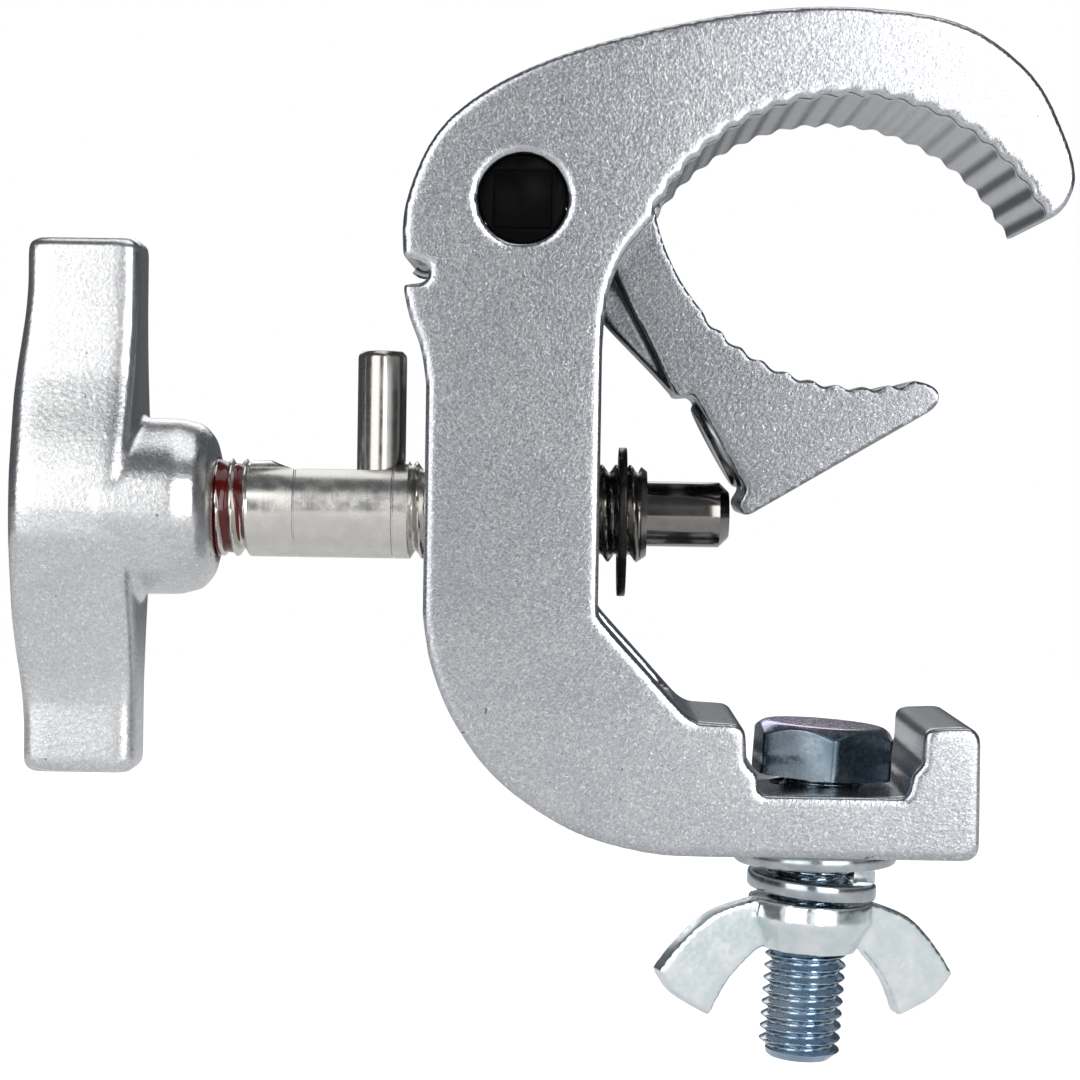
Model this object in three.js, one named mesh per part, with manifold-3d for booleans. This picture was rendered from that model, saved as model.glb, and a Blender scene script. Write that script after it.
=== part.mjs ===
// Quick-release hook clamp for 48 to 51 mm lighting tube.
// Millimetres, +Z up. +X points from the handle to the mouth, +Y from the front cheek to the back one.
// The origin is the middle of the tube that the hook seats on.
import * as THREE from "three";
import { mergeVertices } from "three/addons/utils/BufferGeometryUtils.js";
import Module from "manifold-3d";

const wasm = await Module();
wasm.setup();

// ---- Driving dimensions --------------------------------------------------------------------------

const SEAT_RADIUS = 25.6; // the hook's toothed seat, about the origin
const BODY_DEPTH = 30; // the extruded profile's length along Y
const SLOT_WIDTH = 19; // the slot that the jaw swings in
const JAW_DEPTH = 18;
const HUB_DEPTH = 9; // the jaw's narrow middle, with the spring beside it
const TOOTH_PITCH = 3.06; // along the seat
const TOOTH_DEPTH = 0.6;

const PIVOT = { x: -38.4, z: 13.3 };
const PIVOT_HOLE_RADIUS = 5.3;
const PIVOT_PIN_RADIUS = 5;
const JAW_HUB_RADIUS = 9.6;
const JAW_SEAT = { x: 2.3, z: 17.6, r: 25.5 }; // the jaw's toothed arc with the jaw fully up

const SPINDLE_Z = -23.8;
const SPINDLE_RADIUS = 6; // M12
const PLUNGER_RADIUS = 4;
const BARREL_BORE_RADIUS = 4.15;
const BARREL_BACK_X = -89; // inside the handle's hub
const BARREL_BORE_X = -78; // the blind end of the bore, where the spring sits
const BARREL_FRONT_X = -22.9;
const PLUNGER_BACK_X = -60;
const PLUNGER_TIP_X = -12.8;
const TRIGGER_RADIUS = 3;
const TRIGGER_X = -55.6;
const TRIGGER_TOP_Z = -4.3;
const PLUNGER_TRAVEL = 10.3;
const RING_X = -25.9; // the middle of the retaining ring
const RING_RADIUS = 9.15;
const RING_DROP = 1.05; // it hangs in its groove

const HANDLE_LENGTH = 65.4;
const HANDLE_BACK_X = -100.1;
const HANDLE_FRONT_X = -85;
const HANDLE_THICKNESS = 10;
const HUB_RADIUS = 10.9;
const HUB_END_X = -75.6;

const PLAY = 0.3; // between pieces that slide, turn or rest on one another
const HIDDEN_REACH = 20; // how far a cutter runs out beyond the body's cheeks

const FOOT_Z = -64; // the underside of the foot
const CHANNEL_Z = -56.5; // the floor that the bolt's head lies on
const WEB_FRONT_X = -39.9; // the slot's back wall, beside the spindle
// The bolt's group sits here and leans by the bolt's play in its hole.
const BOLT = { x: -1.2, z: -60, lean: THREE.MathUtils.degToRad(3.4) };
const BOLT_RADIUS = 5; // M10
const BOLT_HOLE_RADIUS = 5.8;
const HEAD_ACROSS_FLATS = 16;
const HEAD_HEIGHT = 6.4;
const BOLT_LENGTH = 35;
const NUT_TURN = THREE.MathUtils.degToRad(20);

// ---- Solids --------------------------------------------------------------------------------------

// A closed geometry as a manifold solid.
function solid(geometry) {
  const g = geometry.clone();
  g.deleteAttribute("normal");
  g.deleteAttribute("uv");
  const merged = mergeVertices(g, 1e-4);
  return new wasm.Manifold(
    new wasm.Mesh({
      numProp: 3,
      vertProperties: merged.attributes.position.array,
      triVerts: new Uint32Array(merged.index.array),
    }),
  );
}

// A manifold solid as a flat-shaded geometry.
function geometryOf(manifold) {
  const m = manifold.getMesh();
  const g = new THREE.BufferGeometry();
  g.setAttribute("position", new THREE.BufferAttribute(m.vertProperties, 3));
  g.setIndex(new THREE.BufferAttribute(m.triVerts, 1));
  const flat = g.toNonIndexed();
  flat.computeVertexNormals();
  return flat;
}

// The first geometry joined with some others, less some more.
function carve(base, { add = [], cut = [] }) {
  let s = solid(base);
  for (const g of add) s = s.add(solid(g));
  for (const g of cut) s = s.subtract(solid(g));
  return geometryOf(s);
}

// An outline in X and Z, extruded along Y about the middle plane.
function plate(shape, depth, curveSegments = 5) {
  const g = new THREE.ExtrudeGeometry(shape, { depth, bevelEnabled: false, curveSegments });
  g.rotateX(Math.PI / 2);
  return g.translate(0, depth / 2, 0);
}

// A profile of [radius, height] pairs turned about an axis, from its lower end to its upper one.
function turned(profile, axis, sides = 40) {
  const g = new THREE.LatheGeometry(profile.map(([r, h]) => new THREE.Vector2(r, h)), sides);
  if (axis === "x") g.rotateZ(-Math.PI / 2);
  if (axis === "z") g.rotateX(Math.PI / 2);
  return g;
}

// A plain cylinder from one height to another along its axis.
function rod(radius, from, to, axis, sides = 40) {
  return turned([[0, from], [radius, from], [radius, to], [0, to]], axis, sides);
}

// A washer or ring with a square section.
function ring(inner, outer, from, to, axis, sides = 40) {
  const corners = [[inner, from], [outer, from], [outer, to], [inner, to], [inner, from]];
  return turned(corners, axis, sides);
}

// A box between two corners.
function block(low, high) {
  const size = high.map((v, i) => v - low[i]);
  const middle = high.map((v, i) => (v + low[i]) / 2);
  return new THREE.BoxGeometry(...size).translate(...middle);
}

// A round wire along a curve.
function wire(curve, radius, steps, sides = 6) {
  const section = new THREE.Shape();
  for (let i = 0; i < sides; i++) {
    const a = (i / sides) * 2 * Math.PI;
    const p = [radius * Math.cos(a), radius * Math.sin(a)];
    if (i === 0) section.moveTo(...p);
    else section.lineTo(...p);
  }
  return new THREE.ExtrudeGeometry(section, { extrudePath: curve, steps, bevelEnabled: false });
}

// A coil along X about the axis.
class SpringCoil extends THREE.Curve {
  constructor({ radius, turns, from, to }) {
    super();
    Object.assign(this, { radius, turns, from, to });
  }
  getPoint(t, target = new THREE.Vector3()) {
    const a = t * this.turns * 2 * Math.PI;
    const x = this.from + (this.to - this.from) * t;
    return target.set(x, this.radius * Math.cos(a), this.radius * Math.sin(a));
  }
}

function disc(x, z, radius) {
  return new THREE.Shape().absarc(x, z, radius, 0, 2 * Math.PI);
}

function spline(shape, points) {
  shape.splineThru(points.map(([x, z]) => new THREE.Vector2(x, z)));
}

function lines(shape, points) {
  for (const [x, z] of points) shape.lineTo(x, z);
}

// A toothed arc: the radius swings by the tooth depth once in each pitch.
function toothedArc(shape, centre, radius, fromDeg, toDeg) {
  const span = THREE.MathUtils.degToRad(toDeg - fromDeg);
  const teeth = Math.round((Math.abs(span) * radius) / TOOTH_PITCH);
  const perTooth = 5;
  for (let i = 0; i <= teeth * perTooth; i++) {
    const a = THREE.MathUtils.degToRad(fromDeg) + (span * i) / (teeth * perTooth);
    const wave = (TOOTH_DEPTH / 2) * (1 - Math.cos((2 * Math.PI * i) / perTooth));
    const r = radius + wave;
    shape.lineTo(centre.x + r * Math.cos(a), centre.z + r * Math.sin(a));
  }
}

// ---- Materials -----------------------------------------------------------------------------------

const finish = (color, roughness, metalness) =>
  new THREE.MeshStandardMaterial({ color, roughness, metalness });
const ALUMINIUM = () => finish(0xb4b6b8, 0.42, 1);
const CAST_ALUMINIUM = () => finish(0xc6c7c6, 0.34, 1);
const STEEL = () => finish(0xb5b1a8, 0.25, 1);
const SPRING_STEEL = () => finish(0x8d8d8a, 0.3, 1);
const BLACK_STEEL = () => finish(0x1a1a1c, 0.4, 1);
const ZINC = () => finish(0x9fb0b8, 0.25, 1);
const BLACK_PLASTIC = () => finish(0x0c0c0d, 0.45, 0);
const THREAD_LOCK = () => finish(0xa01018, 0.35, 0);

const clamp = new THREE.Group();

function addPiece(parent, name, geometry, material) {
  const mesh = new THREE.Mesh(geometry, material);
  mesh.name = name;
  parent.add(mesh);
  return mesh;
}

// ---- The C-shaped body ---------------------------------------------------------------------------

function bodyOutline() {
  const s = new THREE.Shape();
  const hook = { x: 0, z: 0 };
  s.moveTo(-28.8, -34.9);
  s.lineTo(-28.8, -4.3);
  spline(s, [[-28.3, 1.8], [-26.5, 6.8], [-23.1, 11.1]]);
  toothedArc(s, hook, SEAT_RADIUS, 154, 27);
  s.quadraticCurveTo(25.6, 12.2, 26.4, 16.5);
  spline(s, [
    [25.3, 20.8], [21.1, 28.5], [12.7, 34.4], [0.9, 36.2], [-10.9, 35.7], [-22.6, 33.5],
    [-34.3, 30.1], [-43.1, 25.8], [-48.9, 20.5], [-52.2, 12.5], [-52.4, 6.2],
  ]);
  lines(s, [[-50.6, 5.7]]);
  s.absarc(-50.5, 4.4, 1.2, Math.PI / 2, -Math.PI / 2, true);
  lines(s, [[-52.4, 3]]);
  spline(s, [[-51.6, -0.6], [-50.2, -4.4], [-49.5, -8.5]]);
  s.lineTo(-49.5, -36);
  spline(s, [
    [-48.3, -42.4], [-45.3, -49.1], [-40.1, -55.6], [-31.7, -61.1], [-23, -63.6], [-16, FOOT_Z],
  ]);
  s.lineTo(14.7, FOOT_Z);
  s.quadraticCurveTo(16.7, FOOT_Z, 16.7, -62);
  s.lineTo(16.6, -50);
  s.quadraticCurveTo(16.5, -48.1, 14.6, -48.1);
  s.lineTo(11, -48.3);
  s.quadraticCurveTo(9.9, -48.4, 9.9, -49.6);
  lines(s, [[9.8, -52.6], [8.5, -54], [8.3, -56], [7.8, CHANNEL_Z], [-9, CHANNEL_Z], [-9.5, -56]]);
  lines(s, [[-9.6, -54.2], [-10.9, -52.9], [-11.1, -49.6]]);
  s.quadraticCurveTo(-11.2, -48.3, -12.6, -48.2);
  s.lineTo(-16.4, -48);
  s.quadraticCurveTo(-17.7, -47.8, -18.8, -46.6);
  s.lineTo(-28, -36.6);
  s.quadraticCurveTo(-28.8, -35.8, -28.8, -34.9);
  return s;
}

// The slot: a straight-backed channel below the pivot and a round pocket about it.
function slotCutters() {
  const run = new THREE.Shape();
  run.moveTo(WEB_FRONT_X, -46);
  lines(run, [[-10, -46], [-10, 9], [-21.6, 15.3], [-32.4, 21.9], [WEB_FRONT_X, PIVOT.z]]);
  const pocket = disc(PIVOT.x, PIVOT.z, JAW_HUB_RADIUS + 0.7);
  return [plate(run, SLOT_WIDTH), plate(pocket, SLOT_WIDTH, 20)];
}

const SPRING_LEG_Y = -8.6; // the jaw spring lies in front of the jaw's hub
const bodyCuts = [
  ...slotCutters(),
  rod(PIVOT_HOLE_RADIUS, -HIDDEN_REACH, HIDDEN_REACH, "y", 48).translate(PIVOT.x, 0, PIVOT.z),
  rod(SPINDLE_RADIUS + PLAY, -60, -30, "x").translate(0, 0, SPINDLE_Z),
  rod(BOLT_HOLE_RADIUS, -70, -50, "z").translate(BOLT.x, 0, 0),
  block([-51, SPRING_LEG_Y - 0.9, 3.5], [-42, SPRING_LEG_Y + 0.9, 5.6]),
];
addPiece(clamp, "clamp_body", carve(plate(bodyOutline(), BODY_DEPTH), { cut: bodyCuts }), ALUMINIUM());

// ---- The swinging jaw ----------------------------------------------------------------------------

const JAW_LEAN = THREE.MathUtils.degToRad(29.3); // the disc's face leans back from upright by this
const DISC = { radius: 6, thick: 2.8, reach: 6.2, along: 36.6 }; // reach and along are from the pivot

// The jaw's full-width outline: the arc, the tip, the lower edge, the recess for the disc and the back.
function jawOutline() {
  const s = new THREE.Shape();
  s.moveTo(-27.6, 13.4);
  s.lineTo(-23, 14.1);
  const centre = { x: JAW_SEAT.x, z: JAW_SEAT.z };
  for (let i = 1; i <= 8; i++) {
    const a = THREE.MathUtils.degToRad(188 + (32 * i) / 8);
    s.lineTo(centre.x + JAW_SEAT.r * Math.cos(a), centre.z + JAW_SEAT.r * Math.sin(a));
  }
  toothedArc(s, centre, JAW_SEAT.r, 222, 284);
  s.quadraticCurveTo(11.9, -7.6, 11.7, -9.2);
  s.quadraticCurveTo(11.6, -10.3, 10.2, -11.1);
  lines(s, [[-10.6, -23.5]]);
  s.quadraticCurveTo(-11.5, -23.9, -11.8, -23.2);
  lines(s, [[-12.2, -22.2], [-11.2, -20.6], [-17.6, -9.3], [-19.7, -9.5]]);
  lines(s, [[-27.1, 4.6], [-29.2, 8.6]]);
  return s;
}

// The rib that joins the jaw's full-width part to its hub.
function jawRib() {
  const s = new THREE.Shape();
  s.moveTo(-32.8, 21.1);
  lines(s, [[-23.3, 14.3], [-21.5, 0], [-19.9, -9.3]]);
  spline(s, [[-22.6, -6.4], [-27.4, -1.6], [-33.5, 4.6], [-38.4, 3.9]]);
  s.lineTo(PIVOT.x, PIVOT.z);
  return s;
}

// Turns a disc's axis from Z to the direction that the jaw's recess faces, and puts it there.
function onJawFace(geometry) {
  const reach = new THREE.Vector2(Math.cos(JAW_LEAN), Math.sin(JAW_LEAN));
  const along = new THREE.Vector2(Math.sin(JAW_LEAN), -Math.cos(JAW_LEAN));
  const x = PIVOT.x + DISC.reach * reach.x + DISC.along * along.x;
  const z = PIVOT.z + DISC.reach * reach.y + DISC.along * along.y;
  return geometry.rotateY(Math.PI / 2 - JAW_LEAN).translate(x, 0, z);
}

const jaw = carve(plate(jawOutline(), JAW_DEPTH), {
  add: [plate(jawRib(), HUB_DEPTH), plate(disc(PIVOT.x, PIVOT.z, JAW_HUB_RADIUS), HUB_DEPTH, 20)],
  cut: [
    rod(PIVOT_PIN_RADIUS + 0.2, -HIDDEN_REACH, HIDDEN_REACH, "y").translate(PIVOT.x, 0, PIVOT.z),
    onJawFace(rod(DISC.radius + PLAY, -3, DISC.thick + PLAY, "z", 36)),
  ],
});
addPiece(clamp, "swing_jaw", jaw, ALUMINIUM());

const wearDisc = [
  [0, 0], [DISC.radius - 0.7, 0], [DISC.radius, 0.7], [DISC.radius, DISC.thick], [0, DISC.thick],
];
addPiece(clamp, "jaw_wear_disc", onJawFace(turned(wearDisc, "z", 36)), SPRING_STEEL());

// ---- The pivot -----------------------------------------------------------------------------------

const PIN_HALF = 13.2;
const pin = rod(PIVOT_PIN_RADIUS, -PIN_HALF, PIN_HALF, "y", 40).translate(PIVOT.x, 0, PIVOT.z);
addPiece(clamp, "jaw_pivot_pin", pin, STEEL());

// A round cap with a raised square face, set a little below the cheek.
function pivotCap(side) {
  const rim = rod(PIVOT_HOLE_RADIUS - 0.1, PIN_HALF + 0.2, PIN_HALF + 0.6, "y", 40);
  const half = 3.4;
  const face = block([-half, PIN_HALF + 0.4, -half], [half, PIN_HALF + 1.1, half]);
  const cap = carve(rim, { add: [face] });
  if (side < 0) cap.rotateZ(Math.PI);
  return cap.translate(PIVOT.x, 0, PIVOT.z);
}
addPiece(clamp, "pivot_cap_front", pivotCap(-1), BLACK_PLASTIC());
addPiece(clamp, "pivot_cap_back", pivotCap(1), BLACK_PLASTIC());

// The torsion spring: three turns about the pin, a leg hooked in the body's notch and one on the jaw.
function jawSpringCurve() {
  const mean = 7.1;
  const turns = 3;
  const perTurn = 12;
  const lastY = SPRING_LEG_Y + 3.3;
  const points = [
    [-51.3, SPRING_LEG_Y, 5.1],
    [-50.6, SPRING_LEG_Y, 4.5],
    [-47, SPRING_LEG_Y, 4.5],
    [-43.8, SPRING_LEG_Y, 4.8],
  ];
  for (let i = 0; i <= turns * perTurn; i++) {
    const share = i / (turns * perTurn);
    const a = THREE.MathUtils.degToRad(255 + share * (360 * turns + 75));
    const y = SPRING_LEG_Y + (lastY - SPRING_LEG_Y) * share;
    points.push([PIVOT.x + mean * Math.cos(a), y, PIVOT.z + mean * Math.sin(a)]);
  }
  points.push([-30.2, lastY, 11.5], [-29.4, lastY, 13.7]);
  const path = points.map((p) => new THREE.Vector3(...p));
  return new THREE.CatmullRomCurve3(path, false, "centripetal");
}
addPiece(clamp, "jaw_spring", wire(jawSpringCurve(), 0.5, 130), SPRING_STEEL());

// ---- The spindle ---------------------------------------------------------------------------------

const spindle = new THREE.Group();
spindle.position.z = SPINDLE_Z;
clamp.add(spindle);

// A hollow barrel: closed behind the spring, open in front, with a round-ended slot on top.
function barrel() {
  const shell = turned([
    [0, BARREL_BACK_X], [5.2, BARREL_BACK_X], [SPINDLE_RADIUS, BARREL_BACK_X + 0.8],
    [SPINDLE_RADIUS, BARREL_FRONT_X - 0.8], [5.2, BARREL_FRONT_X], [BARREL_BORE_RADIUS, BARREL_FRONT_X],
    [BARREL_BORE_RADIUS, BARREL_BORE_X], [0, BARREL_BORE_X],
  ], "x", 48);
  const half = 3.5;
  const slot = new THREE.Shape();
  slot.absarc(TRIGGER_X - 0.4, 0, half, -Math.PI / 2, Math.PI / 2);
  slot.absarc(TRIGGER_X - PLUNGER_TRAVEL + 0.2, 0, half, Math.PI / 2, -Math.PI / 2 + 2 * Math.PI);
  const cutter = new THREE.ExtrudeGeometry(slot, { depth: 10, bevelEnabled: false, curveSegments: 8 });
  return carve(shell, { cut: [cutter] });
}
addPiece(spindle, "spindle_barrel", barrel(), STEEL());

// The plunger: a plain rod with a chamfered tip and a cross hole for the trigger.
const plungerRod = turned([
  [0, PLUNGER_BACK_X], [PLUNGER_RADIUS - 0.5, PLUNGER_BACK_X], [PLUNGER_RADIUS, PLUNGER_BACK_X + 0.5],
  [PLUNGER_RADIUS, PLUNGER_TIP_X - 1.2], [PLUNGER_RADIUS - 1.2, PLUNGER_TIP_X], [0, PLUNGER_TIP_X],
], "x", 40);
const TRIGGER_FOOT = -2; // the trigger's lower end, from the spindle's axis
const crossHole = rod(TRIGGER_RADIUS + 0.25, TRIGGER_FOOT - 0.3, 10, "z", 32).translate(TRIGGER_X, 0, 0);
addPiece(spindle, "plunger", carve(plungerRod, { cut: [crossHole] }), STEEL());

const triggerTop = TRIGGER_TOP_Z - SPINDLE_Z;
const trigger = turned([
  [0, TRIGGER_FOOT], [TRIGGER_RADIUS, TRIGGER_FOOT], [TRIGGER_RADIUS, triggerTop - 0.5],
  [TRIGGER_RADIUS - 0.5, triggerTop], [0, triggerTop],
], "z", 36).translate(TRIGGER_X, 0, 0);
addPiece(spindle, "trigger_pin", trigger, STEEL());

const coil = new SpringCoil({ radius: 3.3, turns: 7, from: BARREL_BORE_X + 0.7, to: PLUNGER_BACK_X - 0.7 });
addPiece(spindle, "plunger_spring", wire(coil, 0.4, 98), SPRING_STEEL());

const RING_BORE = SPINDLE_RADIUS + RING_DROP + 0.1;
const stopRing = ring(RING_BORE, RING_RADIUS, RING_X - 0.5, RING_X + 0.5, "x", 44);
addPiece(spindle, "retaining_ring", stopRing.translate(0, 0, -RING_DROP), BLACK_STEEL());

const bead = ring(SPINDLE_RADIUS + 0.15, SPINDLE_RADIUS + 0.6, HUB_END_X + 0.2, HUB_END_X + 0.8, "x", 32);
addPiece(spindle, "thread_lock_bead", bead, THREAD_LOCK());

// The tee handle: a bar that thickens from its ends to the middle, with a round hub in front.
function teeHandle() {
  const half = HANDLE_LENGTH / 2;
  const side = [[0, HUB_RADIUS], [4, 10.6], [8, 9.3], [20.5, 5.5], [24, 5], [half, HANDLE_THICKNESS / 2]];
  const right = side.map(([z, h]) => [h, z]);
  const outline = [
    ...[...right].reverse(),
    ...right.slice(1).map(([h, z]) => [h, -z]),
    ...[...right].reverse().map(([h, z]) => [-h, -z]),
    ...right.slice(1).map(([h, z]) => [-h, z]),
  ];
  const s = new THREE.Shape(outline.map(([y, z]) => new THREE.Vector2(y, z)));
  const bevel = 0.9;
  const bar = new THREE.ExtrudeGeometry(s, {
    depth: HANDLE_FRONT_X - HANDLE_BACK_X - 2 * bevel,
    bevelThickness: bevel, bevelSize: bevel, bevelOffset: -bevel, bevelSegments: 2, curveSegments: 4,
  });
  bar.rotateX(Math.PI / 2).rotateZ(Math.PI / 2).translate(HANDLE_BACK_X + bevel, 0, 0);
  const inside = HANDLE_FRONT_X - 4;
  const hub = turned([
    [0, inside], [HUB_RADIUS, inside], [HUB_RADIUS - 0.2, HUB_END_X - 3.4],
    [HUB_RADIUS - 0.9, HUB_END_X - 1.6], [HUB_RADIUS - 2.6, HUB_END_X - 0.4],
    [HUB_RADIUS - 3.8, HUB_END_X], [0, HUB_END_X],
  ], "x", 48);
  return carve(bar, { add: [hub], cut: [rod(SPINDLE_RADIUS + 0.2, BARREL_BACK_X - 0.4, -70, "x", 40)] });
}
addPiece(spindle, "tee_handle", teeHandle(), CAST_ALUMINIUM());

// ---- The hanging bolt ----------------------------------------------------------------------------

const FLAT_WASHER = { inner: 5.9, outer: 10, thick: 2 };
const WASHER_TOP = FOOT_Z - PLAY;
const WASHER_FOOT = WASHER_TOP - FLAT_WASHER.thick;
const flatWasher = ring(FLAT_WASHER.inner, FLAT_WASHER.outer, WASHER_FOOT, WASHER_TOP, "z");
flatWasher.translate(BOLT.x - 0.2, 0, 0);
addPiece(clamp, "flat_washer", flatWasher, ZINC());

const bolt = new THREE.Group();
bolt.position.set(BOLT.x, 0, BOLT.z);
bolt.rotation.y = BOLT.lean;
clamp.add(bolt);

const HEAD_SEAT = 4.4; // the head's underside, above the group's origin

// A hexagon head with a chamfered top, and a plain shank at the thread's outside diameter.
function hexBolt() {
  const across = HEAD_ACROSS_FLATS / Math.sqrt(3);
  const hexagon = new THREE.Shape();
  for (let i = 0; i < 6; i++) {
    const a = (i * Math.PI) / 3 + THREE.MathUtils.degToRad(34);
    const p = [across * Math.cos(a), across * Math.sin(a)];
    if (i === 0) hexagon.moveTo(...p);
    else hexagon.lineTo(...p);
  }
  const prism = new THREE.ExtrudeGeometry(hexagon, { depth: HEAD_HEIGHT, bevelEnabled: false });
  prism.translate(0, 0, HEAD_SEAT);
  const top = HEAD_SEAT + HEAD_HEIGHT;
  const chamfer = [[0, 0], [12, 0], [12, top - 2.4], [HEAD_ACROSS_FLATS / 2 - 0.4, top], [0, top]];
  const dome = turned(chamfer, "z", 36);
  const end = HEAD_SEAT - BOLT_LENGTH;
  const shank = turned([
    [0, end], [BOLT_RADIUS - 1, end], [BOLT_RADIUS, end + 1],
    [BOLT_RADIUS, HEAD_SEAT + 0.5], [0, HEAD_SEAT + 0.5],
  ], "z", 40);
  return geometryOf(solid(prism).intersect(solid(dome)).add(solid(shank)));
}
addPiece(bolt, "hex_bolt", hexBolt(), ZINC());

const SPRING_WASHER = { inner: 5.3, outer: 8, thick: 2.2, rise: 1.5, top: -6.9 };

// A split ring with its ends set apart. Each point drops in step with its angle from the split.
function springWasher() {
  const { inner, outer, thick, rise, top } = SPRING_WASHER;
  const gap = THREE.MathUtils.degToRad(8);
  const s = new THREE.Shape();
  s.absarc(0, 0, outer, gap, 2 * Math.PI - gap, false);
  s.absarc(0, 0, inner, 2 * Math.PI - gap, gap, true);
  const g = new THREE.ExtrudeGeometry(s, { depth: thick, bevelEnabled: false, curveSegments: 18 });
  const p = g.attributes.position;
  for (let i = 0; i < p.count; i++) {
    const a = Math.atan2(p.getY(i), p.getX(i));
    const turn = (a < 0 ? a + 2 * Math.PI : a) / (2 * Math.PI);
    p.setZ(i, p.getZ(i) + top - thick - rise * turn);
  }
  return g;
}
addPiece(bolt, "spring_washer", springWasher(), ZINC());

const NUT = { top: -10.9, bottom: -17.2, radius: 7.6, waist: 6.6, bore: 5.3, wingThick: 2.6 };

// The nut's round middle and two wings that reach out and down.
function wingNut() {
  const { top, bottom, radius, waist, bore, wingThick } = NUT;
  const middle = turned([
    [0, bottom], [waist - 0.7, bottom], [waist, bottom + 1.4],
    [radius + 0.3, top - 2.4], [radius, top], [0, top],
  ], "z", 40);
  const wing = new THREE.Shape();
  wing.moveTo(5.6, top - 0.3);
  wing.lineTo(7.6, top - 0.1);
  spline(wing, [[13.2, -12.9], [17.3, -16.6], [19.9, -20]]);
  spline(wing, [[17.6, -22.9], [12.9, -25.4]]);
  spline(wing, [[10.6, -20.9], [7.4, -17.4]]);
  wing.lineTo(5.6, bottom + 0.8);
  const one = plate(wing, wingThick, 3);
  const other = one.clone().rotateZ(Math.PI);
  const shape = carve(middle, { add: [one, other], cut: [rod(bore, bottom - 3, top + 3, "z", 36)] });
  return shape.rotateZ(NUT_TURN);
}
addPiece(bolt, "wing_nut", wingNut(), ZINC());

export default clamp;
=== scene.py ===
import math

import bmesh
import bpy
import numpy as np
from mathutils import Matrix, Vector


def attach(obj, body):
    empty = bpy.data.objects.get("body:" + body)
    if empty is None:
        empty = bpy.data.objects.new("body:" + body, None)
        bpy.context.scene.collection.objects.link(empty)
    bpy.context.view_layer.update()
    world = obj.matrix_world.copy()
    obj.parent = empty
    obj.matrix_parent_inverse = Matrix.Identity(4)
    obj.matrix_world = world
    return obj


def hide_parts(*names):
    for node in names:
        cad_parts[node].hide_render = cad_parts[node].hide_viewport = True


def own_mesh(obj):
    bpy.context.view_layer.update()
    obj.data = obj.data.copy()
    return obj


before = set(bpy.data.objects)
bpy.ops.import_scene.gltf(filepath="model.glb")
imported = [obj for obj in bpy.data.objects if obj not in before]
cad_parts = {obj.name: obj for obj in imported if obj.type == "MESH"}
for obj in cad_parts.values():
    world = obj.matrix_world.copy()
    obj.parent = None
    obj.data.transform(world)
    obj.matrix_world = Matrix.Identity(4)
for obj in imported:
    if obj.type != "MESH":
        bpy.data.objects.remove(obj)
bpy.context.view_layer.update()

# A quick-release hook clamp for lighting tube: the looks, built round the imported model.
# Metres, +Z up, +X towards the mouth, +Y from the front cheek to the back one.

MM = 0.001
SPINDLE_Z = -23.8 * MM
SPINDLE_AXIS = (0, 0, SPINDLE_Z)
SPINDLE_RADIUS = 6.0  # millimetres
TRIGGER_X = -55.6 * MM
PIVOT = (-38.4 * MM, 0.0, 13.3 * MM)
BOLT_SEAT = (-1.2 * MM, 0.0, -60.0 * MM)
BOLT_LEAN = math.radians(3.4)
FLOOR_Z = -0.125
MERGE_DISTANCE = 2e-6  # points closer than this are one
RING_SCALE = 2500.0  # how fine the marks of turning are


# ---- Meshes -----------------------------------------------------------------------------------

def new_object(name, verts, faces):
    """An object at the origin, unturned, from an array of points and a list of faces."""
    mesh = bpy.data.meshes.new(name)
    mesh.from_pydata(verts.tolist(), [], faces)
    piece = bpy.data.objects.new(name, mesh)
    bpy.context.collection.objects.link(piece)
    return piece


def finish_piece(piece, material, body, node, smooth=35):
    """Gives a piece its finish and its body, and hides the node that it stands for.

    Faces are turned outwards and shaded smooth, save across edges where they meet at more than
    the smooth angle, in degrees.
    """
    mesh = piece.data
    mesh.materials.clear()
    mesh.materials.append(material)
    mesh.polygons.foreach_set("use_smooth", np.ones(len(mesh.polygons), bool))
    bm = bmesh.new()
    bm.from_mesh(mesh)
    bmesh.ops.recalc_face_normals(bm, faces=bm.faces)
    for edge in bm.edges:
        edge.smooth = edge.calc_face_angle(0) <= math.radians(smooth)
    bm.to_mesh(mesh)
    bm.free()
    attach(piece, body)
    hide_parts(node)


def grid_faces(rows, sides):
    """The quads of a grid of closed rings: a point, its neighbour round, and the two above."""
    index = np.arange(rows * sides).reshape(rows, sides)
    low, high = index[:-1], index[1:]
    return np.stack([low, np.roll(low, -1, 1), np.roll(high, -1, 1), high], -1).reshape(-1, 4)


def capped_faces(rows, sides):
    """The same quads as a list, with one flat face over each open end."""
    first, last = np.arange(sides), np.arange((rows - 1) * sides, rows * sides)
    return grid_faces(rows, sides).tolist() + [first[::-1].tolist(), last.tolist()]


def steps(start, stop, step, radius):
    """Profile rows at one radius, evenly spaced in height, so that a thread can be cut in them."""
    heights = np.arange(start, stop, step)
    return np.column_stack([heights, np.full(len(heights), radius)])


def revolve(profile, sides, radius_of=None):
    """Turns a closed or axis-to-axis profile of (height, radius) rows, in millimetres.

    A vertex is (height, r cos a, r sin a); radius_of(height, radius, angle) may change r over
    the surface. A row at radius zero gives one doubled point for each side, to be merged.
    """
    profile = np.asarray(profile, float) * MM
    angle = np.arange(sides) * 2 * np.pi / sides
    h, a = np.meshgrid(profile[:, 0], angle, indexing="ij")
    r = np.repeat(profile[:, 1:2], sides, axis=1)
    if radius_of is not None:
        r = radius_of(h, r, a)
    grid = np.stack([h, r * np.cos(a), r * np.sin(a)], axis=-1)
    return grid.reshape(-1, 3), grid_faces(len(profile), sides)


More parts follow.
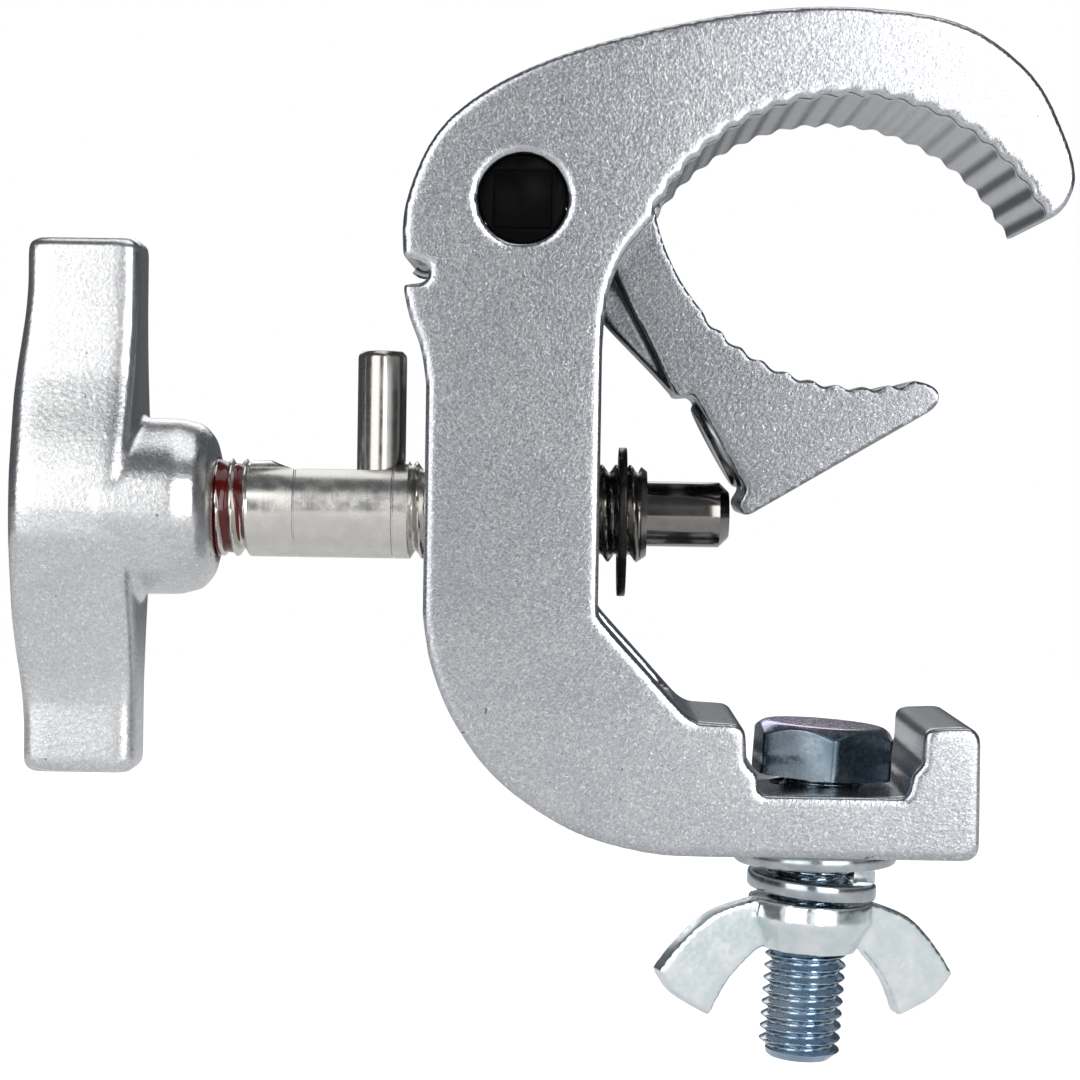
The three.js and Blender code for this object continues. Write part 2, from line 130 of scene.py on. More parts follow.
def place(verts, axis, origin):
    """Carries points whose height runs along X to the named axis, and moves them."""
    order = {"x": (0, 1, 2), "z": (1, 2, 0)}[axis]
    return verts[:, order] + np.asarray(origin)


def weld(mesh):
    """Merges doubled points and turns the faces outwards."""
    bm = bmesh.new()
    bm.from_mesh(mesh)
    bmesh.ops.remove_doubles(bm, verts=bm.verts, dist=MERGE_DISTANCE)
    bmesh.ops.recalc_face_normals(bm, faces=bm.faces)
    bm.to_mesh(mesh)
    bm.free()


def turned_piece(name, profile, axis, origin, material, body, node, sides=96, radius_of=None):
    """A finished turned part: its profile, in millimetres, revolved and put on its axis."""
    verts, faces = revolve(profile, sides, radius_of)
    piece = new_object(name, place(verts, axis, origin), faces.tolist())
    piece.data.validate()
    finish_piece(piece, material, body, node)
    weld(piece.data)
    return piece


def turned_blank(name, profile, axis, origin, sides, radius_of=None):
    """A turned shape without a finish, for shapes that are cut, or that cut others."""
    verts, faces = revolve(profile, sides, radius_of)
    piece = new_object(name, place(verts, axis, origin), faces.tolist())
    weld(piece.data)
    return piece


def copied(node, name):
    """A node's mesh as a new object, with its loose triangles merged and its flats dissolved."""
    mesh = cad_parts[node].data.copy()
    mesh.name = name
    bm = bmesh.new()
    bm.from_mesh(mesh)
    bmesh.ops.remove_doubles(bm, verts=bm.verts, dist=MERGE_DISTANCE)
    bmesh.ops.dissolve_limit(bm, angle_limit=math.radians(0.6), verts=bm.verts, edges=bm.edges)
    bm.to_mesh(mesh)
    bm.free()
    piece = bpy.data.objects.new(name, mesh)
    bpy.context.collection.objects.link(piece)
    return piece


def apply_modifiers(piece):
    """Makes the piece's mesh what its modifiers show, and takes them off."""
    depsgraph = bpy.context.evaluated_depsgraph_get()
    mesh = bpy.data.meshes.new_from_object(piece.evaluated_get(depsgraph))
    piece.modifiers.clear()
    piece.data = mesh


def soften(piece, width_mm):
    """Rounds the piece's sharp edges."""
    m = piece.modifiers.new("edges", "BEVEL")
    m.width = width_mm * MM
    m.segments = 2
    m.limit_method = "ANGLE"
    m.angle_limit = math.radians(40)
    m.harden_normals = True
    m.miter_outer = "MITER_ARC"
    apply_modifiers(piece)


def cast(piece, voxel_mm, passes):
    """Remeshes a piece evenly and smooths it, so its edges and inside corners are as cast."""
    m = piece.modifiers.new("voxels", "REMESH")
    m.mode = "VOXEL"
    m.voxel_size = voxel_mm * MM
    s = piece.modifiers.new("smooth", "SMOOTH")
    s.factor = 0.5
    s.iterations = passes
    apply_modifiers(piece)


def thin(piece, keep):
    """Drops faces where the surface is flattest, down to the kept share."""
    m = piece.modifiers.new("thin", "DECIMATE")
    m.ratio = keep
    apply_modifiers(piece)


def drill(piece, cutter):
    """Takes a closed cutter out of a piece, and removes the cutter."""
    m = piece.modifiers.new("hole", "BOOLEAN")
    m.operation = "DIFFERENCE"
    m.solver = "EXACT"
    m.object = cutter
    apply_modifiers(piece)
    bpy.data.objects.remove(cutter)


# ---- Node groups shared by the finishes -------------------------------------------------------

def group(name, inputs, outputs):
    """A node group with its named sockets, and its input and output nodes."""
    g = bpy.data.node_groups.new(name, "ShaderNodeTree")
    for label, kind, value in inputs:
        s = g.interface.new_socket(label, in_out="INPUT", socket_type=kind)
        if value is not None:
            s.default_value = value
    for label in outputs:
        g.interface.new_socket(label, in_out="OUTPUT", socket_type="NodeSocketFloat")
    return g, g.nodes.new("NodeGroupInput"), g.nodes.new("NodeGroupOutput")


def maths(tree, operation, a, b, clamp=False):
    """One sum of a socket and either a number or another socket."""
    n = tree.nodes.new("ShaderNodeMath")
    n.operation = operation
    n.use_clamp = clamp
    tree.links.new(a, n.inputs[0])
    if isinstance(b, float):
        n.inputs[1].default_value = b
    else:
        tree.links.new(b, n.inputs[1])
    return n.outputs[0]


def noise(tree, vector, scale, detail=2.0, rough=0.5):
    """The value of a noise at a place, between nought and one."""
    n = tree.nodes.new("ShaderNodeTexNoise")
    n.inputs["Scale"].default_value = scale
    n.inputs["Detail"].default_value = detail
    n.inputs["Roughness"].default_value = rough
    tree.links.new(vector, n.inputs["Vector"])
    return n.outputs["Fac"]


def ramp(tree, value, low, high, to_low=0.0, to_high=1.0):
    """A smooth step from one level to another as the value goes from low to high."""
    n = tree.nodes.new("ShaderNodeMapRange")
    n.interpolation_type = "SMOOTHSTEP"
    tree.links.new(value, n.inputs["Value"])
    limits = {"From Min": low, "From Max": high, "To Min": to_low, "To Max": to_high}
    for label, limit in limits.items():
        n.inputs[label].default_value = limit
    return n.outputs["Result"]


def mix_colour(tree, fac, a, b):
    """Goes from colour a to colour b by a mask. A colour is a tuple or a socket."""
    n = tree.nodes.new("ShaderNodeMix")
    n.data_type = "RGBA"
    tree.links.new(fac, n.inputs[0])
    for socket, colour in ((n.inputs[6], a), (n.inputs[7], b)):
        if isinstance(colour, tuple):
            socket.default_value = (*colour, 1.0)
        else:
            tree.links.new(colour, socket)
    return n.outputs[2]


def tumbled_group():
    """Masks and bump height of tumbled metal, from Object coordinates.

    Flecks are the peaks of a fine noise, Grain its middle, Mottle a slow noise and Pits the
    peaks of a third. Height is the fine noise plus small cells, less the pits.
    """
    g, gin, gout = group(
        "tumbled surface",
        [("Vector", "NodeSocketVector", None), ("Fleck size", "NodeSocketFloat", 2600.0)],
        ["Flecks", "Mottle", "Height", "Pits", "Grain"],
    )
    vector, size = gin.outputs["Vector"], gin.outputs["Fleck size"]
    fine = g.nodes.new("ShaderNodeTexNoise")
    fine.inputs["Detail"].default_value = 3.0
    fine.inputs["Roughness"].default_value = 0.55
    fine.inputs["Distortion"].default_value = 1.2
    g.links.new(vector, fine.inputs["Vector"])
    g.links.new(size, fine.inputs["Scale"])
    cells = g.nodes.new("ShaderNodeTexVoronoi")
    g.links.new(vector, cells.inputs["Vector"])
    g.links.new(maths(g, "MULTIPLY", size, 0.62), cells.inputs["Scale"])
    pits = ramp(g, noise(g, vector, 900.0), 0.74, 0.78)
    peened = maths(g, "MULTIPLY", cells.outputs["Distance"], 0.55)
    height = maths(g, "ADD", fine.outputs["Fac"], peened)
    height = maths(g, "SUBTRACT", height, maths(g, "MULTIPLY", pits, 0.6))
    g.links.new(ramp(g, fine.outputs["Fac"], 0.60, 0.74), gout.inputs["Flecks"])
    g.links.new(noise(g, vector, 95.0, 3.0, 0.6), gout.inputs["Mottle"])
    g.links.new(height, gout.inputs["Height"])
    g.links.new(pits, gout.inputs["Pits"])
    g.links.new(ramp(g, fine.outputs["Fac"], 0.34, 0.66), gout.inputs["Grain"])
    return g


def turned_group():
    """Marks of a turned part: ring marks are noise drawn out round an axis that lies along X."""
    g, gin, gout = group(
        "turning marks",
        [("Vector", "NodeSocketVector", None), ("Scale", "NodeSocketFloat", RING_SCALE)],
        ["Height", "Smears"],
    )
    squeeze = g.nodes.new("ShaderNodeVectorMath")
    squeeze.operation = "MULTIPLY"
    squeeze.inputs[1].default_value = (1.0, 0.02, 0.02)
    g.links.new(gin.outputs["Vector"], squeeze.inputs[0])
    rings = g.nodes.new("ShaderNodeTexNoise")
    rings.inputs["Detail"].default_value = 4.0
    g.links.new(squeeze.outputs[0], rings.inputs["Vector"])
    g.links.new(gin.outputs["Scale"], rings.inputs["Scale"])
    g.links.new(rings.outputs["Fac"], gout.inputs["Height"])
    g.links.new(noise(g, gin.outputs["Vector"], 420.0, 4.0, 0.65), gout.inputs["Smears"])
    return g


TUMBLED = tumbled_group()
TURNED = turned_group()


# ---- Finishes ---------------------------------------------------------------------------------

def start_finish(name):
    """A new material, its tree, its shader and its Object coordinates."""
    m = bpy.data.materials.new(name)
    m.use_nodes = True
    tree = m.node_tree
    shader = tree.nodes["Principled BSDF"]
    coords = tree.nodes.new("ShaderNodeTexCoord").outputs["Object"]
    return m, tree, shader, coords


def placed(tree, tool, coords, **values):
    """A node group set in a material with its own values."""
    n = tree.nodes.new("ShaderNodeGroup")
    n.node_tree = tool
    tree.links.new(coords, n.inputs["Vector"])
    for key, value in values.items():
        n.inputs[key.replace("_", " ")].default_value = value
    return n.outputs


def part_of(tree, coords, letter):
    """One of the coordinates, by its letter."""
    n = tree.nodes.new("ShaderNodeSeparateXYZ")
    tree.links.new(coords, n.inputs[0])
    return n.outputs[letter]


def surface(tree, shader, tone, rough, height, strength, distance_mm, metallic=1.0):
    """Joins a colour, a roughness and a bump height to the shader."""
    b = tree.nodes.new("ShaderNodeBump")
    b.inputs["Strength"].default_value = strength
    b.inputs["Distance"].default_value = distance_mm * MM
    tree.links.new(height, b.inputs["Height"])
    tree.links.new(b.outputs["Normal"], shader.inputs["Normal"])
    tree.links.new(tone, shader.inputs["Base Color"])
    tree.links.new(rough, shader.inputs["Roughness"])
    shader.inputs["Metallic"].default_value = metallic


def aluminium(name, dark, light, fleck, size, rough, strength):
    """Tumbled aluminium: bright flecks over a slow blue-grey mottle, with a fine peened bump."""
    m, tree, shader, coords = start_finish(name)
    t = placed(tree, TUMBLED, coords, Fleck_size=size)
    drift = ramp(tree, t["Mottle"], 0.3, 0.7, -0.14, 0.14)
    tone = mix_colour(tree, maths(tree, "ADD", t["Grain"], drift, clamp=True), dark, light)
    tone = mix_colour(tree, t["Flecks"], tone, fleck)
    tone = mix_colour(tree, t["Pits"], tone, tuple(0.45 * v for v in dark))
    gloss = ramp(tree, t["Flecks"], 0.0, 1.0, rough, rough * 0.75)
    surface(tree, shader, tone, gloss, t["Height"], strength, 0.05)
    return m


def turned_steel(name, dark, light, rough, strength):
    """Turned steel: smears drift between two greys and two glosses, over fine ring marks."""
    m, tree, shader, coords = start_finish(name)
    t = placed(tree, TURNED, coords, Scale=RING_SCALE)
    tone = mix_colour(tree, t["Smears"], dark, light)
    gloss = ramp(tree, t["Smears"], 0.3, 0.7, rough * 0.8, rough * 1.25)
    surface(tree, shader, tone, gloss, t["Height"], strength, 0.02)
    return m


def barrel_steel():
    """Turned steel whose front thread is much darker, by its place along the spindle."""
    m, tree, shader, coords = start_finish("turned stainless")
    t = placed(tree, TURNED, coords, Scale=RING_SCALE)
    rear_tone = mix_colour(tree, t["Smears"], (0.50, 0.485, 0.455), (0.76, 0.745, 0.71))
    # The front thread's much darker tone, laid on by its place along X.
    darker_front_tone = mix_colour(tree, t["Smears"], (0.10, 0.095, 0.085), (0.34, 0.325, 0.30))
    front = ramp(tree, part_of(tree, coords, "X"), -0.034, -0.030)
    tone = mix_colour(tree, front, rear_tone, darker_front_tone)
    gloss = ramp(tree, t["Smears"], 0.3, 0.7, 0.19, 0.30)
    surface(tree, shader, tone, gloss, t["Height"], 0.3, 0.02)
    return m


def zinc(name, cool, warm, rough):
    """Passivated zinc: a slow drift between two pale tones, and a slightly uneven gloss."""
    m, tree, shader, coords = start_finish(name)
    drift = ramp(tree, noise(tree, coords, 260.0, 4.0, 0.6), 0.35, 0.65)
    grain = noise(tree, coords, 1500.0, 3.0)
    gloss = ramp(tree, grain, 0.3, 0.7, rough * 0.8, rough * 1.3)
    surface(tree, shader, mix_colour(tree, drift, cool, warm), gloss, grain, 0.12, 0.03)
    return m


def bolt_zinc():
    """The bolt's zinc by height: a pale thread, the head's sides darkened with painted shade, and
    a violet bloom on the head.
    """
    m, tree, shader, coords = start_finish("bolt zinc")
    height = part_of(tree, coords, "Z")
    drift = ramp(tree, noise(tree, coords, 130.0), 0.35, 0.65)
    # Painted shade: the head's sides, down in the body's channel, get a much darker zinc tone than
    # the thread.
    painted_shade_flank = mix_colour(tree, drift, (0.10, 0.14, 0.18), (0.24, 0.29, 0.33))
    thread = mix_colour(tree, drift, (0.28, 0.38, 0.48), (0.46, 0.53, 0.59))
    patches = ramp(tree, noise(tree, coords, 90.0, 1.0), 0.42, 0.6)
    bloom = mix_colour(tree, patches, (0.46, 0.44, 0.62), (0.62, 0.50, 0.60))
    # From the head's foot upwards the tone turns to the painted shade of the head's sides.
    tone = mix_colour(tree, ramp(tree, height, -0.058, -0.056), thread, painted_shade_flank)
    tone = mix_colour(tree, ramp(tree, height, -0.0500, -0.0490), tone, bloom)
    grain = noise(tree, coords, 1600.0, 3.0)
    surface(tree, shader, tone, ramp(tree, grain, 0.3, 0.7, 0.16, 0.3), grain, 0.12, 0.03)
    return m


def plain_finish(name, dark, light, rough, metallic, scale, strength, coat=0.0, gloss=0.3):
    """An even finish: one noise gives the colour, the roughness and the bump."""
    m, tree, shader, coords = start_finish(name)
    grain = noise(tree, coords, scale, 3.0)
    tone = mix_colour(tree, grain, dark, light)
    shader.inputs["Coat Weight"].default_value = coat
    shader.inputs["Specular IOR Level"].default_value = gloss
    uneven = ramp(tree, grain, 0.3, 0.7, rough * 0.85, rough * 1.15)
    surface(tree, shader, tone, uneven, grain, strength, 0.03, metallic)
    return m


BODY_METAL = aluminium("tumbled aluminium", (0.385, 0.40, 0.43), (0.56, 0.565, 0.58),
                       (0.92, 0.92, 0.92), 3300.0, 0.22, 0.34)
CAST_METAL = aluminium("cast aluminium", (0.54, 0.545, 0.555), (0.72, 0.72, 0.72),
                       (0.95, 0.95, 0.95), 2700.0, 0.26, 0.36)
JAW_METAL = aluminium("jaw aluminium", (0.20, 0.21, 0.23), (0.31, 0.315, 0.325),
                      (0.62, 0.62, 0.63), 3300.0, 0.24, 0.34)
BARREL_STEEL = barrel_steel()
GROUND_STEEL = turned_steel("ground dowel", (0.36, 0.345, 0.32), (0.52, 0.50, 0.47), 0.2, 0.08)
PLUNGER_STEEL = turned_steel("bright plunger", (0.16, 0.15, 0.14), (0.30, 0.285, 0.27), 0.12, 0.1)
HARD_STEEL = plain_finish("hardened disc", (0.20, 0.21, 0.215), (0.36, 0.37, 0.375),
                          0.26, 1.0, 700.0, 0.1)
SPRING_WIRE = plain_finish("spring wire", (0.30, 0.30, 0.29), (0.45, 0.45, 0.44),
                           0.25, 1.0, 900.0, 0.1)
BLACK_RING = plain_finish("blackened ring", (0.008, 0.008, 0.009), (0.022, 0.022, 0.023),
                          0.3, 0.6, 1200.0, 0.2)
BLACK_CAP = plain_finish("black cap", (0.001, 0.001, 0.001), (0.004, 0.004, 0.004),
                         0.36, 0.0, 900.0, 0.1, gloss=0.03)
RED_LOCK = plain_finish("red thread-lock", (0.035, 0.0, 0.0), (0.11, 0.002, 0.002),
                        0.18, 0.0, 800.0, 0.3, coat=0.3)
PALE_ZINC = zinc("pale zinc", (0.68, 0.76, 0.78), (0.84, 0.87, 0.87), 0.21)
WASHER_ZINC = zinc("washer zinc", (0.34, 0.39, 0.43), (0.50, 0.53, 0.54), 0.18)
BOLT_ZINC = bolt_zinc()


# ---- Pieces worked up from their nodes ----------------------------------------------------------

def cast_copy(node, name, material, body, voxel_mm, passes, keep):
    """A node's copy, remeshed and smoothed so that its edges are tumbled round, then thinned."""
    piece = copied(node, name)
    cast(piece, voxel_mm, passes)
    thin(piece, keep)
    finish_piece(piece, material, body, node, smooth=50)
    return piece


def kept_shape(node, name, material, body, width_mm):
    """A node's own shape with smooth rounds and its sharp edges softened."""
    piece = copied(node, name)
    soften(piece, width_mm)
    finish_piece(piece, material, body, node, smooth=32)


cheeks = cast_copy("clamp_body", "hook_body", BODY_METAL, "frame", 0.42, 5, 0.32)
jaw = cast_copy("swing_jaw", "jaw", JAW_METAL, "jaw", 0.36, 4, 0.4)
nut = cast_copy("wing_nut", "winged_nut", PALE_ZINC, "wing_nut", 0.26, 8, 0.5)


# ---- The tee handle ---------------------------------------------------------------------------

HANDLE_HALF = 32.7  # millimetres, like the rest of the handle's sizes
HANDLE_BACK, HANDLE_FRONT = -100.1, -85.0
HANDLE_SWELL = 1.3
HANDLE_END_RADIUS = 1.5
HANDLE_ROWS, HANDLE_SIDES = 121, 96
# Half thickness by height from the spindle's axis.
HANDLE_HEIGHTS = [0, 4, 8, 12, 16, 20.5, 24, HANDLE_HALF]
HANDLE_HALF_THICK = [10.85, 10.55, 9.25, 7.8, 6.45, 5.4, 4.95, 4.9]


def handle_bar():
    """A bar as a grid of sections round by heights along Z, each section a rounded rectangle.

    A section's point at angle t is sign(cos t)|cos t|^p and sign(sin t)|sin t|^p times its half
    sizes, with p small for square corners. The half thickness follows the waved table, averaged
    over a short run; the back edge swells by a smooth step towards the middle; both sizes draw in
    on a quarter circle at the ends. A fan to one point closes each end.
    """
    rows, sides = HANDLE_ROWS, HANDLE_SIDES
    z = HANDLE_HALF * np.sin(np.linspace(-np.pi / 2, np.pi / 2, rows))
    fine = np.linspace(0, HANDLE_HALF, 400)
    waved = np.pad(np.interp(fine, HANDLE_HEIGHTS, HANDLE_HALF_THICK), 9, "edge")
    half_y = np.interp(np.abs(z), fine, np.convolve(waved, np.ones(19) / 19, "valid"))
    swell = np.clip((28 - np.abs(z)) / 16, 0, 1)
    swell = swell * swell * (3 - 2 * swell)
    back = HANDLE_BACK + HANDLE_SWELL * (1 - swell)
    over = np.clip(np.abs(z) - (HANDLE_HALF - HANDLE_END_RADIUS), 0, HANDLE_END_RADIUS)
    draw = HANDLE_END_RADIUS - np.sqrt(HANDLE_END_RADIUS**2 - over**2)
    half_x = (HANDLE_FRONT - back) / 2 - draw
    mid_x = (HANDLE_FRONT + back) / 2
    half_y = half_y - draw
    t = np.linspace(0, 2 * np.pi, sides, endpoint=False) + 1e-4
    across = np.sign(np.cos(t)) * np.abs(np.cos(t)) ** 0.22
    deep = np.sign(np.sin(t)) * np.abs(np.sin(t)) ** 0.30
    x = mid_x[:, None] + half_x[:, None] * across
    y = half_y[:, None] * deep
    grid = np.stack([x, y, np.repeat(z[:, None], sides, 1)], -1).reshape(-1, 3)
    ends = [[mid_x[0], 0, -HANDLE_HALF], [mid_x[-1], 0, HANDLE_HALF]]
    bottom, n = np.arange(sides), rows * sides
    top = bottom + n - sides
    fan_low = np.stack([np.roll(bottom, -1), bottom, np.full(sides, n)], -1)
    fan_top = np.stack([top, np.roll(top, -1), np.full(sides, n + 1)], -1)
    faces = grid_faces(rows, sides).tolist() + fan_low.tolist() + fan_top.tolist()
    return np.concatenate([grid, ends]) * MM, faces


def tee_handle():
    """The bar and its hub remeshed as one cast piece, then bored for the spindle."""
    bar, faces = handle_bar()
    hub, hub_faces = revolve([(-92, 0), (-92, 9.6), (-89, 10.9), (-80, 10.8), (-77.4, 10.1),
                              (-76.1, 8.6), (-75.6, 6.9), (-75.6, 0)], 96)
    verts = np.concatenate([bar, hub]) + SPINDLE_AXIS
    piece = new_object("tee_bar", verts, faces + (hub_faces + len(bar)).tolist())
    weld(piece.data)
    cast(piece, 0.40, 8)
    thin(piece, 0.4)
    bore = [(-89.4, 0), (-89.4, 6.2), (-70, 6.2), (-70, 0)]
    drill(piece, turned_blank("bore", bore, "x", SPINDLE_AXIS, 64))
    finish_piece(piece, CAST_METAL, "spindle", "tee_handle", smooth=50)


# ---- The spindle ------------------------------------------------------------------------------

def threaded(pitch, depth, start, end, run_out):
    """The radius change of a thread: a rounded saw that advances one pitch in each turn.

    Its share is |2 frac(h / pitch - a / 2 pi) - 1|, flattened at crest and root, and it fades to
    nothing over run_out at both ends of the threaded length. Only the outer surface is cut.
    """
    def radius_of(h, r, a):
        saw = np.abs(2 * ((h / (pitch * MM) - a / (2 * np.pi)) % 1) - 1)
        groove = np.clip((saw - 0.12) / 0.72, 0, 1)
        fade = np.clip((h / MM - start) / run_out, 0, 1) * np.clip((end - h / MM) / run_out, 0, 1)
        cut = (r > 4.5 * MM) & (h / MM > start) & (h / MM < end)
        return np.where(cut, r - depth * MM * groove * fade, r)
    return radius_of


def scored(line):
    """Profile rows of a shallow line round the barrel."""
    edge, root = SPINDLE_RADIUS, 5.93
    return [(line - 0.16, edge), (line - 0.05, root), (line + 0.05, root), (line + 0.16, edge)]


def slot_cutter():
    """The trigger's slot as a prism: two half circles of radius 3.5 mm, 9.7 mm apart."""
    radius, front, back, height = 3.5, -56.0, -65.7, 10
    angle = np.linspace(-np.pi / 2, np.pi / 2, 25)
    right = np.stack([front + radius * np.cos(angle), radius * np.sin(angle)], -1)
    left = np.stack([back - radius * np.cos(angle), -radius * np.sin(angle)], -1)
    loop = np.concatenate([right, left]) * MM
    low = np.column_stack([loop, np.full(len(loop), SPINDLE_Z)])
    verts = np.concatenate([low, low + [0, 0, height * MM]])
    cutter = new_object("slot", verts, capped_faces(2, len(loop)))
    weld(cutter.data)
    return cutter


def barrel():
    """The spindle's barrel: threads at both ends, a plain slotted middle, and a blind bore."""
    pitch, depth, run_out = 1.75, 0.95, 0.5
    back = threaded(pitch, depth, -88.0, -71.3, run_out)
    front = threaded(pitch, depth, -52.1, -23.4, run_out)

    def both(h, r, a):
        return front(h, back(h, r, a), a)

    outline = np.concatenate([
        [(-89, 0), (-89, 5.1), (-88.1, SPINDLE_RADIUS)],
        steps(-87.9, -71.3, 0.16, SPINDLE_RADIUS),
        scored(-65.9), scored(-53.9),
        steps(-52.1, -23.7, 0.16, SPINDLE_RADIUS),
        [(-23.6, 5.95), (-22.9, 5.2), (-22.9, 4.3), (-23.05, 4.15), (-78, 4.15), (-78, 0)],
    ])
    piece = turned_blank("threaded_barrel", outline, "x", SPINDLE_AXIS, 112, both)
    drill(piece, slot_cutter())
    finish_piece(piece, BARREL_STEEL, "spindle", "spindle_barrel", smooth=30)


def plunger_rod():
    """The plunger turned with a chamfered nose, then cross drilled for the trigger."""
    outline = np.concatenate([
        [(-60, 0), (-60, 3.5), (-59.5, 4.0)], steps(-59, -14.4, 1.5, 4.0),
        [(-14.1, 4.0), (-14.0, 3.98), (-12.95, 2.95), (-12.8, 2.75), (-12.8, 0)],
    ])
    piece = turned_blank("plunger_rod", outline, "x", SPINDLE_AXIS, 96)
    hole = [(-2.3, 0), (-2.3, 3.25), (10, 3.25), (10, 0)]
    drill(piece, turned_blank("cross_hole", hole, "z", (TRIGGER_X, 0, SPINDLE_Z), 48))
    finish_piece(piece, PLUNGER_STEEL, "plunger", "plunger", smooth=30)


def trigger_dowel():
    """The trigger: a plain dowel with a rounded top."""
    outline = [(-2, 0), (-2, 2.8), (-1.8, 3.0), (18.6, 3.0), (18.95, 2.93), (19.4, 2.5),
               (19.5, 2.3), (19.5, 0)]
    piece = turned_piece("trigger_dowel", outline, "z", (TRIGGER_X, 0, SPINDLE_Z), GROUND_STEEL,
                         "plunger", "trigger_pin", 64)


def plain_washer():
    """The flat washer, with its outer edges rounded."""
    outline = [(-66.3, 5.9), (-66.3, 9.7), (-66.1, 9.93), (-65.8, 10), (-64.6, 10), (-64.3, 9.8),
               (-64.3, 5.9), (-66.3, 5.9)]
    piece = turned_piece("plain_washer", outline, "z", (-1.4 * MM, 0, 0), WASHER_ZINC,
                         "washers", "flat_washer")


def thread_lock():
    """Red compound: a sleeve that fills the first grooves, with a wavy bead at the hub's mouth.

    The bead's radius is its profile's plus two sines of the angle, of three and seven waves.
    """
    def uneven(h, r, a):
        wave = 0.07 * np.sin(3 * a + 0.6) + 0.05 * np.sin(7 * a + h * 2400)
        return np.where(r > 5.3 * MM, r + wave * MM, r)

    outline = np.concatenate([
        [(-76.6, 4.7), (-76.6, 5.5), (-75.9, 5.7), (-75.4, 5.95), (-74.9, 5.75), (-74.4, 5.5)],
        steps(-74.2, -73.0, 0.2, 5.5),
        [(-72.7, 5.3), (-72.2, 4.7), (-76.6, 4.7)],
    ])
    piece = turned_piece("thread_lock", outline, "x", SPINDLE_AXIS, RED_LOCK,
                         "spindle", "thread_lock_bead", radius_of=uneven)


tee_handle()
barrel()
plunger_rod()
trigger_dowel()
kept_shape("retaining_ring", "stop_ring", BLACK_RING, "spindle_feed", 0.15)
kept_shape("jaw_pivot_pin", "pivot_pin", BARREL_STEEL, "pivot", 0.3)
kept_shape("pivot_cap_front", "front_cap", BLACK_CAP, "frame", 0.28)
kept_shape("pivot_cap_back", "back_cap", BLACK_CAP, "frame", 0.28)
kept_shape("jaw_wear_disc", "wear_disc", HARD_STEEL, "jaw", 0.15)
plain_washer()
thread_lock()


# ---- The springs ------------------------------------------------------------------------------

def tube(path, radius_mm, sides=10):
    """A round wire carried along a path, with a flat cap at each end.

    Each circle is square to the path's tangent. Its first radius is the tangent crossed with one
    fixed direction, and its second is the tangent crossed with the first.
    """
    tangent = np.gradient(path, axis=0)
    tangent /= np.linalg.norm(tangent, axis=1)[:, None]
    side = np.cross(tangent, [0.13, 0.97, 0.21])
    side /= np.linalg.norm(side, axis=1)[:, None]
    other = np.cross(tangent, side)
    a = (np.arange(sides) * 2 * np.pi / sides)[:, None]
    circle = side[:, None] * np.cos(a) + other[:, None] * np.sin(a)
    ring = path[:, None] + radius_mm * circle
    return ring.reshape(-1, 3) * MM, capped_faces(len(path), sides)


def wire_piece(name, path, radius_mm, body, node):
    """A finished spring: the wire along its path, in millimetres."""
    piece = new_object(name, *tube(path, radius_mm))
    finish_piece(piece, SPRING_WIRE, body, node, 60)
    return piece


def even_path(points, count):
    """Points spaced evenly along a polyline, then each averaged with its neighbours six times."""
    run = np.concatenate([[0], np.cumsum(np.linalg.norm(np.diff(points, axis=0), axis=1))])
    at = np.linspace(0, run[-1], count)
    out = np.stack([np.interp(at, run, points[:, k]) for k in range(3)], -1)
    for _ in range(6):
        out[1:-1] = 0.25 * out[:-2] + 0.5 * out[1:-1] + 0.25 * out[2:]
    return out


def plunger_coil():
    """Seven turns about the spindle's axis: (x, r cos a, r sin a), with x in step with a.
    """
    back, front, radius, count = -77.3, -60.7, 3.3, 340
    a = np.linspace(0, 7 * 2 * np.pi, count)
    path = np.stack([np.linspace(back, front, count), radius * np.cos(a),
                     radius * np.sin(a) + SPINDLE_Z / MM], -1)
    coil = wire_piece("plunger_coil", path, 0.4, "spindle_feed", "plunger_spring")
    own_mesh(coil)


def jaw_coil():
    """A leg in the body's notch, three turns and a bit about the pivot, and a leg on the jaw.

    The turns are (r cos a, y, r sin a) about the pivot, with y in step with a.
    """
    radius, first_y, last_y, count = 7.1, -8.6, -5.3, 220
    a = np.radians(255 + np.linspace(0, 1, count) * (3 * 360 + 75))
    wound = np.stack([PIVOT[0] / MM + radius * np.cos(a), np.linspace(first_y, last_y, count),
                      PIVOT[2] / MM + radius * np.sin(a)], -1)
    body_leg = [[-51.3, first_y, 5.1], [-50.6, first_y, 4.5], [-47, first_y, 4.5],
                [-43.8, first_y, 4.8]]
    jaw_leg = [[-30.2, last_y, 11.5], [-29.4, last_y, 13.7]]
    route = np.concatenate([body_leg, wound, jaw_leg])
    wire_piece("jaw_coil", even_path(route, 620), 0.5, "frame", "jaw_spring")


plunger_coil()
jaw_coil()


# ---- The hanging bolt -------------------------------------------------------------------------

BOLT_LENGTH = 35  # millimetres, like the rest of the bolt's sizes
BOLT_RADIUS = 5.0
HEAD_FOOT = 4.4  # above the seat
HEAD_TOP = HEAD_FOOT + 6.4
HEAD_HALF_WIDTH = 8.0
HEAD_CORNER = 9.12
HEAD_ROUND = 9e3  # a higher number makes sharper corners
HEAD_TURN = math.radians(34)


def leaned(points):
    """Leans points about Y by the bolt's lean and carries them to its seat."""
    c, s = math.cos(BOLT_LEAN), math.sin(BOLT_LEAN)
    x, y, z = points.T
    return np.stack([c * x + s * z, y, c * z - s * x], -1) + np.array(BOLT_SEAT)


